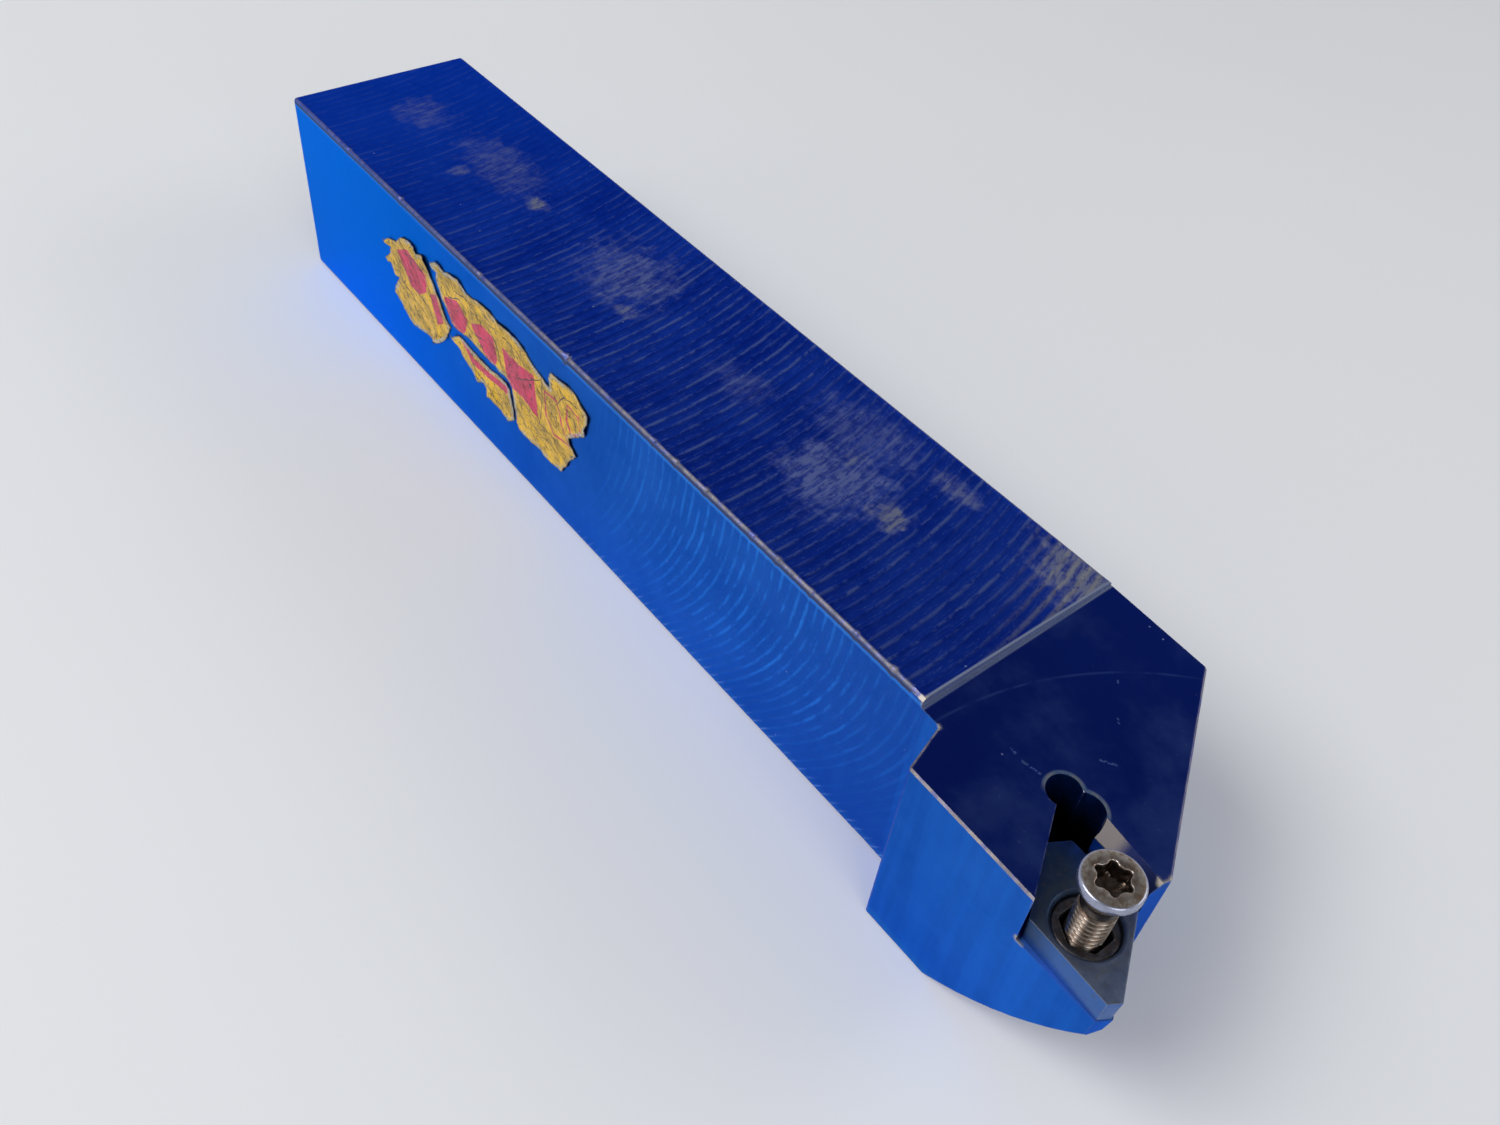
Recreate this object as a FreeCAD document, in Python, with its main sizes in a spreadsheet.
import FreeCAD, Part

import math
import os

import Sketcher

# Left-hand indexable turning-tool holder: a square shank with an offset head, a
# 55 degree rhombic seat, a carbide shim held by a threaded sleeve, an insert screw
# in that sleeve and three torn pieces of a thin adhesive label.
#
# Frame: +X from the rear end of the shank to the cutting tip, +Z up, -Y to the side
# the head is offset to.  Origin on the base, in the middle of the shank's width,
# 60 mm in front of the rear end, which is the middle of the clamped length.

os.makedirs("parts", exist_ok=True)

doc = FreeCAD.newDocument("tool_holder")
sheet = doc.addObject("Spreadsheet::Sheet", "Sizes")

# alias, value in millimetres or degrees, note
SIZES = [
    ("shank_wide", 25.4, "width of the square shank"),
    ("shank_high", 25.4, "height of the square shank"),
    ("back_len", 60.0, "rear end to origin"),
    ("step_x", 62.3, "origin to the small step down to the head"),
    ("notch_x", 64.6, "origin to the front end of the shank's -Y side"),
    ("head_rear_x", 66.2, "origin to the rear edge of the offset head"),
    ("head_side", 17.78, "middle of the shank to the head's side face"),
    ("corner_x", 74.2, "origin to the start of the taper on the +Y side"),
    ("taper_deg", 31.6, "taper of the front, from square"),
    ("edge_deg", 32.0, "end cutting edge, from square"),
    ("lead_deg", 3.0, "side cutting edge, from the shank"),
    ("taper_end_y", 7.0, "end of the taper, to the -Y side of the middle"),
    ("seat_x", 84.3, "seat screw axis"),
    ("seat_y", 13.8, "seat screw axis, on the -Y side"),
    ("head_top", 24.69, "head top above the base at the step, mid width"),
    ("head_fall", 3.27, "slope of the head top, down to the nose"),
    ("floor_z", 16.95, "pocket floor above the base"),
    ("pocket_back", 4.95, "pocket walls from the screw axis"),
    ("end_gap", 0.05, "holder's end face beyond the shim's"),
    ("wall_inset", 0.2, "end face's +Y end short of the inner wall's plane"),
    ("nose_inset", 0.1, "holder's nose behind the shim's cut-off tip"),
    ("relief_y", 8.3, "both reliefs, on the -Y side"),
    ("corner_relief_x", 75.45, "origin to the corner relief"),
    ("wall_relief_x", 77.85, "origin to the wall relief"),
    ("lobe_small", 1.65, "corner relief radius"),
    ("lobe_large", 1.85, "wall relief radius"),
    ("lobe_deep", 3.5, "reliefs below the pocket floor"),
    ("bevel_z", 22.3, "foot of the bevel along the inner wall's top"),
    ("bevel_back", 5.4, "rear end of the bevel, back along the inner wall"),
    ("bevel_wide", 2.6, "width and height of the bevel cut"),
    ("relief_deg", 10.0, "clearance of the end face below the seat"),
    ("nose_deg", 4.0, "clearance of the nose below the seat"),
    ("edge_break", 0.3, "edge break along the shank"),
    ("head_break", 0.2, "edge break on the head"),
    ("shim_front", 3.75, "shim's outer edges from the screw axis"),
    ("shim_back", 4.65, "shim's inner edges from the screw axis"),
    ("shim_thick", 3.175, "shim thickness"),
    ("shim_tip", 6.78, "shim's cut-off tip from the screw axis"),
    ("shim_heel", 7.8, "shim's cut-off heel from the screw axis"),
    ("shim_taper", 3.0, "clearance of the shim's edges"),
    ("shim_bore", 2.55, "shim bore radius"),
    ("sink_rad", 3.0, "shim counterbore radius"),
    ("sink_deep", 1.8, "shim counterbore depth"),
    ("sink_bevel", 0.3, "bevel at the counterbore's rim"),
    ("sleeve_rad", 2.5, "sleeve thread radius"),
    ("flange_rad", 2.93, "sleeve flange radius"),
    ("flange_thick", 1.3, "sleeve flange thickness"),
    ("sleeve_long", 8.0, "sleeve length with the flange"),
    ("sleeve_bevel", 0.25, "bevels at the sleeve's ends"),
    ("hex_across", 4.0, "hex socket across flats"),
    ("hex_deep", 2.3, "hex socket depth"),
    ("sleeve_bore", 1.77, "sleeve bore radius"),
    ("tap_rad", 2.55, "hole for the sleeve in the holder"),
    ("screw_rad", 1.72, "insert screw thread radius"),
    ("screw_top", 27.4, "top of the raised screw head above the base"),
    ("screw_long", 11.7, "insert screw length"),
    ("point_wide", 0.4, "bevel at the screw's lower end, across"),
    ("point_high", 0.5, "bevel at the screw's lower end, upwards"),
    ("head_rad", 2.75, "screw head radius"),
    ("head_rim", 0.9, "screw top to the lower end of its straight rim"),
    ("head_bevel", 0.2, "bevel at the screw head's top"),
    ("head_cone", 30.0, "half angle of the countersink"),
    ("socket_core", 1.28, "six-lobe socket core radius"),
    ("socket_lobe", 0.36, "six-lobe socket lobe radius"),
    ("socket_out", 1.3, "lobes from the screw axis"),
    ("socket_deep", 1.9, "six-lobe socket depth"),
    ("label_thick", 0.12, "label thickness"),
]
for row, (alias, number, note) in enumerate(SIZES, start=1):
    sheet.set("A%d" % row, alias)
    sheet.set("B%d" % row, repr(number))
    sheet.set("C%d" % row, note)
    sheet.setAlias("B%d" % row, alias)
doc.recompute()


# ---------------------------------------------------------------- bound sizes
class Size:
    """A length or angle that carries its value and the formula that binds it to the sheet."""

    def __init__(self, value, text):
        self.value, self.text = value, text

    def _pair(self, other, sign, value):
        other = other if isinstance(other, Size) else num(other)
        return Size(value(self.value, other.value), "(%s %s %s)" % (self.text, sign, other.text))

    def __add__(self, other):
        return self._pair(other, "+", lambda a, b: a + b)

    def __sub__(self, other):
        return self._pair(other, "-", lambda a, b: a - b)

    def __mul__(self, other):
        return self._pair(other, "*", lambda a, b: a * b)

    def __truediv__(self, other):
        return self._pair(other, "/", lambda a, b: a / b)

    def __neg__(self):
        return Size(-self.value, "(0 - %s)" % self.text)


def num(value):
    return Size(float(value), repr(float(value)))


def sin(angle):
    return Size(math.sin(math.radians(angle.value)), "sin(%s)" % angle.text)


def cos(angle):
    return Size(math.cos(math.radians(angle.value)), "cos(%s)" % angle.text)


def tan(angle):
    return Size(math.tan(math.radians(angle.value)), "tan(%s)" % angle.text)


def bind(obj, prop, size):
    obj.setExpression(prop, size.text)


dim = {alias: Size(number, "Sizes." + alias) for alias, number, _ in SIZES}
zero = num(0)


# ---------------------------------------------------------------- sketches
def new_body(label):
    body = doc.addObject("PartDesign::Body", label)
    body.Label = label
    doc.recompute()
    return body


def new_sketch(body, name, role="XY_Plane", move=None, turn=None):
    """A sketch on one of the body's own origin planes, moved by `move` (three Sizes) and turned."""
    sketch = body.newObject("Sketcher::SketchObject", name)
    plane = [f for f in body.Origin.OriginFeatures if f.Role == role][0]
    sketch.AttachmentSupport = [(plane, "")]
    sketch.MapMode = "FlatFace"
    place = FreeCAD.Placement()
    if turn is not None:
        place.Rotation = turn
    if move is not None:
        place.Base = FreeCAD.Vector(*[part.value for part in move])
    sketch.AttachmentOffset = place
    if move is not None:
        for axis, part in zip("xyz", move):
            bind(sketch, "AttachmentOffset.Base." + axis, part)
    return sketch


def pin(sketch, geo, pos, x, y):
    """Hold a sketch point at (x, y) from the sketch's origin, bound to the sheet."""
    for kind, size, axis in (("DistanceX", x, -2), ("DistanceY", y, -1)):
        if abs(size.value) < 1e-9:
            sketch.addConstraint(Sketcher.Constraint("PointOnObject", geo, pos, axis))
            continue
        i = sketch.addConstraint(Sketcher.Constraint(kind, -1, 1, geo, pos, size.value))
        if "Sizes" in size.text:
            bind(sketch, "Constraints[%d]" % i, size)


def polygon(sketch, points):
    """Fill an empty sketch with a closed outline through points, each a pair of Sizes."""
    count = len(points)
    at = [FreeCAD.Vector(x.value, y.value, 0) for x, y in points]
    for k in range(count):
        sketch.addGeometry(Part.LineSegment(at[k], at[(k + 1) % count]), False)
    for k in range(count):
        sketch.addConstraint(Sketcher.Constraint("Coincident", k, 2, (k + 1) % count, 1))
    for k, (x, y) in enumerate(points):
        pin(sketch, k, 1, x, y)


def circle(sketch, x, y, radius):
    centre = FreeCAD.Vector(x.value, y.value, 0)
    round_edge = Part.Circle(centre, FreeCAD.Vector(0, 0, 1), radius.value)
    geo = sketch.addGeometry(round_edge, False)
    pin(sketch, geo, 3, x, y)
    i = sketch.addConstraint(Sketcher.Constraint("Radius", geo, radius.value))
    bind(sketch, "Constraints[%d]" % i, radius)


# ---------------------------------------------------------------- features
def require_cut(shape, before, name):
    if not shape.Volume < before - 1e-3:
        raise RuntimeError("%s cut nothing" % name)


def pad(body, sketch, name, length, down=False):
    feature = body.newObject("PartDesign::Pad", name)
    feature.Profile = sketch
    feature.Length = length.value
    bind(feature, "Length", length)
    feature.Reversed = down
    sketch.Visibility = False
    doc.recompute()
    return feature


def pocket(body, sketch, name, length, up=False, both=False):
    """Cut against the sketch's normal, along it when `up`, to both sides when `both`."""
    before = body.Shape.Volume
    feature = body.newObject("PartDesign::Pocket", name)
    feature.Profile = sketch
    feature.Type = "Length"
    feature.Length = length.value
    bind(feature, "Length", length)
    feature.Reversed = up
    feature.Midplane = both
    sketch.Visibility = False
    doc.recompute()
    require_cut(feature.Shape, before, name)
    return feature


def revolve(body, sketch, name, cut=False):
    """Turn a sketch once about its own vertical axis, as a solid or as a cut."""
    before = body.Shape.Volume if cut else 0.0
    feature = body.newObject("PartDesign::Groove" if cut else "PartDesign::Revolution", name)
    feature.Profile = sketch
    feature.ReferenceAxis = (sketch, ["V_Axis"])
    feature.Angle = 360.0
    sketch.Visibility = False
    doc.recompute()
    if cut:
        require_cut(feature.Shape, before, name)


def break_edges(body, base, name, size, wanted):
    """Chamfer the edges of `base` that `wanted` accepts."""
    names = ["Edge%d" % (i + 1) for i, edge in enumerate(base.Shape.Edges) if wanted(edge)]
    if not names:
        raise RuntimeError("%s found no edges" % name)
    feature = body.newObject("PartDesign::Chamfer", name)
    feature.Base = (base, names)
    feature.Size = size.value
    bind(feature, "Size", size)
    doc.recompute()
    if "Invalid" in feature.State or "Error" in feature.State or feature.Shape.isNull():
        raise RuntimeError("%s failed" % name)


# ---------------------------------------------------------------- plan of the seat
# Unit directions in plan.  `fore` is square to the end cutting edge and points out
# through it; `side` is square to the side cutting edge and points away from it,
# towards +Y; `nose` points from the screw axis to the nose.  An edge is a pair of its
# normal and its distance from the screw axis along that normal.
screw_x, screw_y = dim["seat_x"], -dim["seat_y"]
fore = (cos(dim["edge_deg"]), sin(dim["edge_deg"]))
side = (sin(dim["lead_deg"]), cos(dim["lead_deg"]))
nose_half_deg = (num(90) - dim["lead_deg"] - dim["edge_deg"]) / 2
nose_turn_deg = nose_half_deg + dim["lead_deg"]
nose = (cos(nose_turn_deg), -sin(nose_turn_deg))

half_wide = dim["shank_wide"] / 2
shim_top = dim["floor_z"] + dim["shim_thick"]
turning_axis = (screw_x, zero, -screw_y)  # the screw axis, as an offset on the XZ plane


def step_from(point, direction, distance):
    return (point[0] + direction[0] * distance, point[1] + direction[1] * distance)


def seat_point(along_fore, along_side):
    """The plan point at these distances from the screw axis along fore and side."""
    det = fore[0] * side[1] - fore[1] * side[0]
    x = (along_fore * side[1] - along_side * fore[1]) / det
    y = (along_side * fore[0] - along_fore * side[0]) / det
    return (screw_x + x, screw_y + y)


def nose_cut_point(distance, edge):
    """Where a line square to the nose direction, `distance` out, meets an edge."""
    normal, off = edge
    square = (-nose[1], nose[0])
    along = (off - (nose[0] * normal[0] + nose[1] * normal[1]) * distance) / (
        square[0] * normal[0] + square[1] * normal[1]
    )
    return step_from(step_from((screw_x, screw_y), nose, distance), square, along)


def upright(across, run):
    """The turn that puts a sketch upright, its x along `across` and its normal along `run`."""
    return FreeCAD.Rotation(
        FreeCAD.Vector(across[0].value, across[1].value, 0),
        FreeCAD.Vector(0, 0, 1),
        FreeCAD.Vector(run[0].value, run[1].value, 0),
        "YXZ",
    )


# ---------------------------------------------------------------- holder body
END_FACE = dim["shim_front"] + dim["end_gap"]  # from the screw axis, along fore
NOSE_FACE = dim["shim_tip"] - dim["nose_inset"]  # from the screw axis, along nose

# Underside of the head, (x, z): three points of an arc from the base up to the nose,
# then the corners that close the cut outside the solid.
UNDERSIDE_ARC = [(74.3, 0.0), (81.7, 5.29), (89.7, 14.28)]
UNDERSIDE_CORNERS = [(96.0, 24.0), (100.0, 24.0), (100.0, -4.0), (70.0, -4.0)]

# Extents that carry cuts clear of the solid.
TOP_LONG, TOP_HALF_WIDE, TOP_CUT = num(40), num(30), num(6)
UNDERSIDE_CUT = num(60)
WEDGE_DEEP, WEDGE_OUT = num(20), num(8)
SEAT_OUT, SEAT_CUT = num(12), num(12)
SEAT_SIDE = num(-9.0)
RELIEF_CUT, BEVEL_CUT, TAP_CUT = num(14), num(14), num(20)
BEVEL_OPEN = num(-1.0)

# Limits that tell the head's edges apart.
HEAD_TOP_ABOVE = 22.0  # edges of the head's top lie above this
UNDER_MARGIN = 0.5  # lower side edges lie this far below the pocket floor
SIDE_EDGE_MIN = 3.5
FAR_EDGE_MIN = 5
TAPER_REACH = 20  # the taper's top edge reaches this far beyond the step


def near(value, *others):
    return all(abs(value - other) < 2e-3 for other in others)


def on_shank(edge):
    """The rear end's edges and the four long edges."""
    box = edge.BoundBox
    top = dim["shank_high"].value
    at_end = box.XMax < -dim["back_len"].value + 1e-3
    long_side = box.XLength > 100 and (abs(box.ZMin) < 1e-3 or abs(box.ZMin - top) < 1e-3)
    return at_end or long_side


def on_head(edge):
    """The head's outer edges: top outline, side face and the corner on the +Y side."""
    if len(edge.Vertexes) != 2:
        return False
    one, two = [vertex.Point for vertex in edge.Vertexes]
    side_y, far_y, step = -dim["head_side"].value, half_wide.value, dim["step_x"].value
    if min(one.x, two.x) < step - 0.1:
        return False

    high = min(one.z, two.z) > HEAD_TOP_ABOVE
    on_side = near(side_y, one.y, two.y) and edge.Length > SIDE_EDGE_MIN
    on_far = near(far_y, one.y, two.y)
    below_seat = max(one.z, two.z) < dim["floor_z"].value - UNDER_MARGIN
    rear_upright = near(dim["head_rear_x"].value, one.x, two.x)
    taper_top = high and max(one.x, two.x) > step + TAPER_REACH and near(
        far_y, max(one.y, two.y)
    )
    far_top = high and on_far and edge.Length > FAR_EDGE_MIN
    far_upright = on_far and near(dim["corner_x"].value, one.x, two.x)
    rear_top = (
        high
        and near(-half_wide.value, max(one.y, two.y))
        and near(side_y, min(one.y, two.y))
    )
    return (
        (on_side and (below_seat or high))
        or rear_upright or taper_top or far_top or far_upright or rear_top
    )


def add_bar(body):
    """The full-height blank of shank and head, with the shank's edges broken."""
    taper_end_x = dim["corner_x"] + (half_wide + dim["taper_end_y"]) * tan(dim["taper_deg"])
    side_face = ((num(0), num(1)), -dim["head_side"] - screw_y)
    plan = new_sketch(body, "plan")
    polygon(
        plan,
        [
            (-dim["back_len"], -half_wide),
            (dim["notch_x"], -half_wide),
            (dim["head_rear_x"], -dim["head_side"]),
            (nose_cut_point(NOSE_FACE, side_face)[0], -dim["head_side"]),
            nose_cut_point(NOSE_FACE, (fore, END_FACE)),
            seat_point(END_FACE, dim["pocket_back"] - dim["wall_inset"]),
            (taper_end_x, -dim["taper_end_y"]),
            (dim["corner_x"], half_wide),
            (-dim["back_len"], half_wide),
        ],
    )
    bar = pad(body, plan, "bar", dim["shank_high"])
    break_edges(body, bar, "shank_edges", dim["edge_break"], on_shank)


def cut_head_top(body):
    """A plane that falls towards the nose, cut down from the shank's top."""
    fall_axis = FreeCAD.Vector(-nose[1].value, nose[0].value, 0)
    plane = new_sketch(
        body,
        "head_top_plane",
        move=(dim["step_x"], zero, dim["head_top"]),
        turn=FreeCAD.Rotation(fall_axis, dim["head_fall"].value),
    )
    bind(plane, "AttachmentOffset.Rotation.Angle", dim["head_fall"])
    polygon(
        plane,
        [
            (zero, -TOP_HALF_WIDE),
            (TOP_LONG, -TOP_HALF_WIDE),
            (TOP_LONG, TOP_HALF_WIDE),
            (zero, TOP_HALF_WIDE),
        ],
    )
    pocket(body, plane, "head_top", TOP_CUT, up=True)


def cut_underside(body):
    """A long convex sweep from the base up to the nose, cut square to the shank."""
    sweep = new_sketch(body, "underside_profile", "XZ_Plane")
    start, middle, end = [FreeCAD.Vector(x, z, 0) for x, z in UNDERSIDE_ARC]
    corners = [end] + [FreeCAD.Vector(x, z, 0) for x, z in UNDERSIDE_CORNERS] + [start]
    sweep.addGeometry(Part.Arc(start, middle, end), False)
    for one, two in zip(corners, corners[1:]):
        sweep.addGeometry(Part.LineSegment(one, two), False)
    # which end of the arc lies at `start` depends on its sense
    start_pos = 1 if (sweep.getPoint(0, 1) - start).Length < 1e-6 else 2
    end_pos = 3 - start_pos
    last = len(corners) - 1
    sweep.addConstraint(Sketcher.Constraint("Coincident", 0, end_pos, 1, 1))
    for k in range(1, last):
        sweep.addConstraint(Sketcher.Constraint("Coincident", k, 2, k + 1, 1))
    sweep.addConstraint(Sketcher.Constraint("Coincident", last, 2, 0, start_pos))
    for k in range(last + 1):
        sweep.addConstraint(Sketcher.Constraint("Block", k))
    doc.recompute()
    pocket(body, sweep, "underside", UNDERSIDE_CUT, both=True)


def cut_clearance(body, name, edge, span, angle):
    """Cut a wedge below an edge, along `span`, so that its face leans back going down."""
    normal, off = edge
    run = (-normal[1], normal[0])
    x, y = step_from(step_from((screw_x, screw_y), normal, off), run, span[1])
    profile = new_sketch(
        body,
        name + "_profile",
        move=(x, y, dim["floor_z"]),
        turn=upright(normal, (-run[0], -run[1])),
    )
    polygon(
        profile,
        [
            (zero, zero),
            (-(WEDGE_DEEP * tan(angle)), -WEDGE_DEEP),
            (WEDGE_OUT, -WEDGE_DEEP),
            (WEDGE_OUT, zero),
        ],
    )
    pocket(body, profile, name, num(span[1] - span[0]), up=True)


def cut_seat(body):
    """The insert pocket, open to -Y and to the front, and two round reliefs behind it."""
    back = dim["pocket_back"]
    plan = new_sketch(body, "pocket_plan", move=(zero, zero, dim["floor_z"]))
    polygon(
        plan,
        [
            seat_point(-back, back),
            seat_point(-back, SEAT_SIDE),
            seat_point(SEAT_OUT, SEAT_SIDE),
            seat_point(SEAT_OUT, back),
        ],
    )
    pocket(body, plan, "insert_pocket", SEAT_CUT, up=True)

    relief_z = dim["floor_z"] - dim["lobe_deep"]
    for plan_name, name, x, radius in (
        ("relief_plan", "corner_relief", dim["corner_relief_x"], dim["lobe_small"]),
        ("relief_plan_2", "wall_relief", dim["wall_relief_x"], dim["lobe_large"]),
    ):
        plan = new_sketch(body, plan_name, move=(zero, zero, relief_z))
        circle(plan, x, -dim["relief_y"], radius)
        pocket(body, plan, name, RELIEF_CUT, up=True)


def cut_wall_bevel(body):
    """A bevel along the top of the inner wall, from the reliefs to the front."""
    wall_run = (cos(dim["lead_deg"]), -sin(dim["lead_deg"]))
    x, y = step_from(seat_point(zero, dim["pocket_back"]), wall_run, -dim["bevel_back"])
    wide = dim["bevel_wide"]
    profile = new_sketch(
        body, "wall_bevel_profile", move=(x, y, dim["bevel_z"]), turn=upright(side, wall_run)
    )
    polygon(profile, [(BEVEL_OPEN, zero), (zero, zero), (wide, wide), (BEVEL_OPEN, wide)])
    pocket(body, profile, "inner_wall_bevel", BEVEL_CUT, up=True)


def build_holder():
    body = new_body("holder_body")
    add_bar(body)
    cut_head_top(body)
    cut_underside(body)
    cut_clearance(body, "end_clearance", (fore, END_FACE), (-12.0, 3.3), dim["relief_deg"])
    cut_clearance(body, "nose_clearance", (nose, NOSE_FACE), (-6.0, 6.0), dim["nose_deg"])
    cut_seat(body)
    cut_wall_bevel(body)

    # hole for the sleeve, right through to the underside
    tap = new_sketch(body, "tapped_hole_plan", move=(zero, zero, dim["floor_z"]))
    circle(tap, screw_x, screw_y, dim["tap_rad"])
    hole = pocket(body, tap, "tapped_hole", TAP_CUT)
    break_edges(body, hole, "head_edges", dim["head_break"], on_head)
    return body


# ---------------------------------------------------------------- shim
def build_shim():
    """A rhombic plate with a cut-off tip and heel, tapered edges and a counterbore."""
    body = new_body("shim")
    front, back = dim["shim_front"], dim["shim_back"]
    tip, heel = dim["shim_tip"], -dim["shim_heel"]
    plan = new_sketch(body, "shim_plan", move=(zero, zero, shim_top))
    polygon(
        plan,
        [
            nose_cut_point(tip, (side, -front)),
            nose_cut_point(tip, (fore, front)),
            seat_point(front, back),
            nose_cut_point(heel, (side, back)),
            nose_cut_point(heel, (fore, -back)),
            seat_point(-back, -front),
        ],
    )
    plate = pad(body, plan, "plate", dim["shim_thick"], down=True)
    plate.TaperAngle = -dim["shim_taper"].value
    bind(plate, "TaperAngle", -dim["shim_taper"])
    doc.recompute()

    overcut = 1  # above and below the plate
    ledge = shim_top - dim["sink_deep"]
    rim_rad = dim["sink_rad"] + dim["sink_bevel"]
    profile = new_sketch(body, "counterbore_profile", "XZ_Plane", move=turning_axis)
    polygon(
        profile,
        [
            (zero, dim["floor_z"] - overcut),
            (dim["shim_bore"], dim["floor_z"] - overcut),
            (dim["shim_bore"], ledge),
            (dim["sink_rad"], ledge),
            (dim["sink_rad"], shim_top - dim["sink_bevel"]),
            (rim_rad, shim_top),
            (rim_rad, shim_top + overcut),
            (zero, shim_top + overcut),
        ],
    )
    revolve(body, profile, "counterbore", cut=True)
    return body


# ---------------------------------------------------------------- sleeve
def build_sleeve():
    """A bored sleeve whose flange rests in the shim's counterbore, with a hex socket."""
    body = new_body("shim_screw")
    ledge = shim_top - dim["sink_deep"]
    top = ledge + dim["flange_thick"]
    low = top - dim["sleeve_long"]
    bore, radius, flange = dim["sleeve_bore"], dim["sleeve_rad"], dim["flange_rad"]
    bevel = dim["sleeve_bevel"]
    profile = new_sketch(body, "sleeve_profile", "XZ_Plane", move=turning_axis)
    polygon(
        profile,
        [
            (bore, low),
            (radius - bevel, low),
            (radius, low + bevel),
            (radius, ledge),
            (flange, ledge),
            (flange, top - bevel),
            (flange - bevel, top),
            (bore, top),
        ],
    )
    revolve(body, profile, "turned_sleeve")

    plan = new_sketch(body, "hex_plan", move=(zero, zero, top))
    hex_rad = dim["hex_across"] / 2 / cos(num(30))
    turns = [math.radians(60 * k) for k in range(6)]
    polygon(
        plan,
        [(screw_x + hex_rad * math.cos(t), screw_y + hex_rad * math.sin(t)) for t in turns],
    )
    pocket(body, plan, "hex_socket", dim["hex_deep"])
    return body


# ---------------------------------------------------------------- insert screw
def build_screw():
    """A countersunk screw with a six-lobe socket."""
    body = new_body("insert_screw")
    top, radius, head = dim["screw_top"], dim["screw_rad"], dim["head_rad"]
    low = top - dim["screw_long"]
    rim_low = top - dim["head_rim"]
    cone_low = rim_low - (head - radius) / tan(dim["head_cone"])
    profile = new_sketch(body, "screw_profile", "XZ_Plane", move=turning_axis)
    polygon(
        profile,
        [
            (zero, low),
            (radius - dim["point_wide"], low),
            (radius, low + dim["point_high"]),
            (radius, cone_low),
            (head, rim_low),
            (head, top - dim["head_bevel"]),
            (head - dim["head_bevel"], top),
            (zero, top),
        ],
    )
    revolve(body, profile, "turned_screw")

    core = new_sketch(body, "socket_core_plan", move=(zero, zero, top))
    circle(core, screw_x, screw_y, dim["socket_core"])
    pocket(body, core, "socket_core_cut", dim["socket_deep"])

    # one lobe, repeated about its sketch's normal, which is the screw axis
    lobe = new_sketch(body, "socket_lobe_plan", move=(screw_x, screw_y, top))
    circle(lobe, dim["socket_out"], zero, dim["socket_lobe"])
    lobe_cut = pocket(body, lobe, "socket_lobe_cut", dim["socket_deep"])
    pattern = body.newObject("PartDesign::PolarPattern", "six_lobes")
    pattern.Originals = [lobe_cut]
    pattern.Axis = (lobe, ["N_Axis"])
    pattern.Angle = 360.0
    pattern.Occurrences = 6
    before = body.Shape.Volume
    body.Tip = pattern
    doc.recompute()
    require_cut(body.Shape, before, "six_lobes")
    return body


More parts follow.
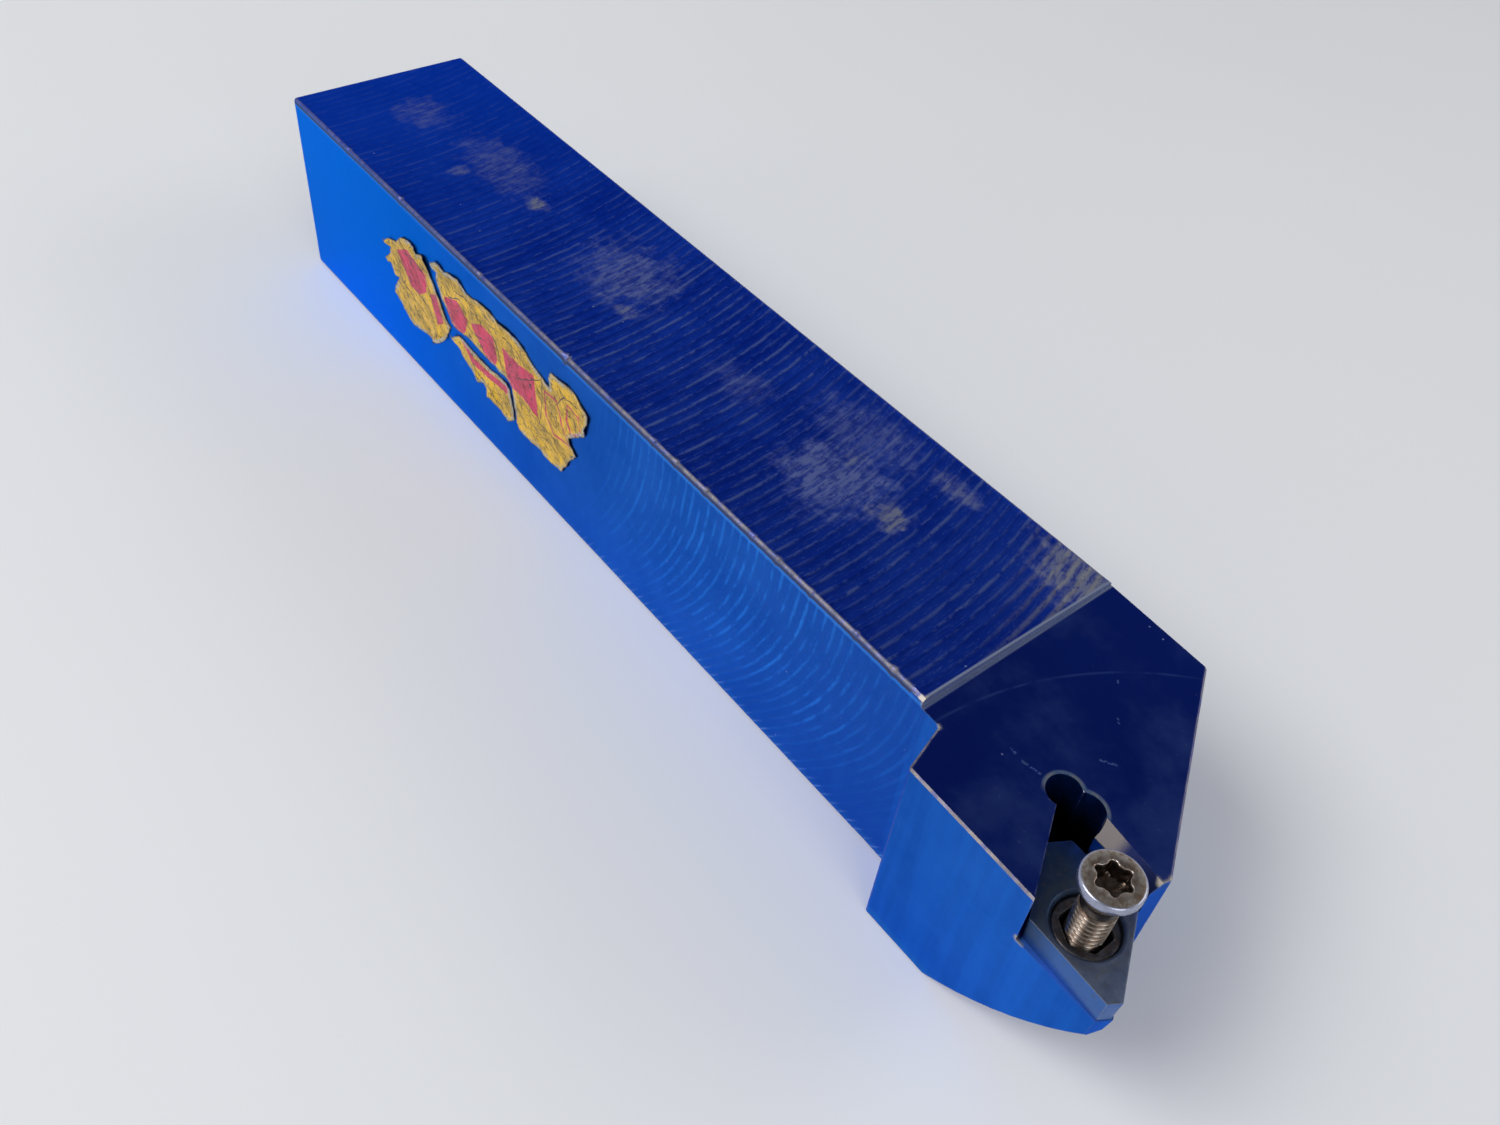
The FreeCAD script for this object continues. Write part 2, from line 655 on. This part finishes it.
# ---------------------------------------------------------------- torn label
# Thin pieces on the -Y side of the shank; outlines are (x, z) in millimetres.
LABELS = {
    "label_rear_piece": [
        (-36.35, 17.30), (-34.63, 17.81), (-33.18, 18.24), (-31.28, 19.87), (-29.40, 20.47),
        (-28.12, 20.31), (-27.62, 19.47), (-25.75, 20.28), (-25.21, 19.72), (-24.54, 18.61),
        (-23.86, 17.48), (-23.33, 16.78), (-22.61, 15.93), (-21.93, 14.79), (-21.24, 13.64),
        (-20.04, 13.07), (-20.89, 11.61), (-21.27, 10.42), (-22.37, 8.85), (-24.23, 7.64),
        (-25.32, 7.83), (-26.04, 8.06), (-27.94, 7.55), (-29.84, 7.19), (-31.17, 7.46),
        (-32.46, 8.06), (-33.68, 8.96), (-34.86, 9.62), (-34.37, 10.87), (-33.18, 12.65),
        (-34.57, 12.63), (-34.61, 13.54), (-34.92, 14.28), (-36.44, 14.12), (-35.05, 15.38),
        (-34.65, 16.65), (-35.76, 16.80),
    ],
    "label_front_piece": [
        (-23.90, 20.67), (-22.62, 21.33), (-21.60, 21.18), (-20.60, 20.90), (-18.85, 21.67),
        (-17.21, 21.78), (-16.26, 21.36), (-15.30, 20.95), (-14.31, 20.94), (-12.87, 21.44),
        (-11.29, 21.55), (-9.75, 21.52), (-8.24, 21.24), (-6.33, 21.46), (-4.46, 21.43),
        (-2.99, 21.15), (-1.93, 20.50), (-0.67, 19.97), (0.59, 19.58), (2.02, 19.31),
        (2.66, 19.12), (2.56, 20.54), (2.98, 21.43), (4.57, 21.65), (6.31, 21.86),
        (8.03, 21.71), (9.22, 20.95), (10.47, 20.37), (10.48, 19.27), (9.91, 17.10),
        (8.35, 15.95), (6.64, 14.49), (7.10, 13.47), (8.17, 12.82), (6.53, 10.65),
        (5.02, 8.13), (2.77, 7.93), (0.50, 8.01), (-1.82, 7.94), (-4.17, 7.88),
        (-4.82, 8.78), (-4.92, 10.35), (-5.39, 12.16), (-5.61, 13.46), (-6.89, 14.03),
        (-8.07, 14.02), (-9.04, 14.15), (-10.82, 14.28), (-12.84, 14.27), (-14.87, 14.26),
        (-16.51, 14.39), (-18.21, 14.09), (-19.27, 14.34), (-20.24, 15.31), (-21.20, 16.27),
        (-21.92, 17.11), (-22.61, 17.84), (-22.79, 18.87), (-22.52, 19.78), (-23.46, 19.98),
    ],
    "label_lower_strip": [
        (-19.88, 12.38), (-17.91, 13.15), (-16.25, 13.11), (-14.62, 12.84), (-12.98, 12.86),
        (-10.96, 12.82), (-8.93, 13.18), (-6.72, 13.23), (-6.13, 12.71), (-5.84, 11.32),
        (-5.46, 9.97), (-5.39, 8.65), (-6.67, 7.46), (-7.77, 7.78), (-9.37, 8.03),
        (-10.98, 8.28), (-11.51, 9.15), (-12.72, 9.41), (-14.06, 8.50), (-14.60, 9.37),
        (-15.82, 9.64), (-17.21, 10.35), (-18.57, 11.35), (-19.66, 11.51),
    ],
}


def build_label(name, outline):
    body = new_body(name)
    sketch = new_sketch(body, name + "_outline", "XZ_Plane", move=(zero, zero, half_wide))
    polygon(sketch, [(num(x), num(z)) for x, z in outline])
    pad(body, sketch, name + "_film", dim["label_thick"])
    return body


# ---------------------------------------------------------------- check and write
bodies = [build_holder(), build_shim(), build_sleeve(), build_screw()]
bodies += [build_label(name, outline) for name, outline in LABELS.items()]

doc.recompute()
for obj in doc.Objects:
    if "Invalid" in obj.State or "Error" in obj.State:
        raise RuntimeError("%s is in state %s" % (obj.Name, obj.State))
for body in bodies:
    if body.Shape.isNull() or not body.Shape.isValid():
        raise RuntimeError("%s has no valid shape" % body.Label)
    if len(body.Shape.Solids) != 1:
        raise RuntimeError("%s has %d solids" % (body.Label, len(body.Shape.Solids)))
for body in bodies:
    body.Shape.exportStep("parts/%s.step" % body.Label)
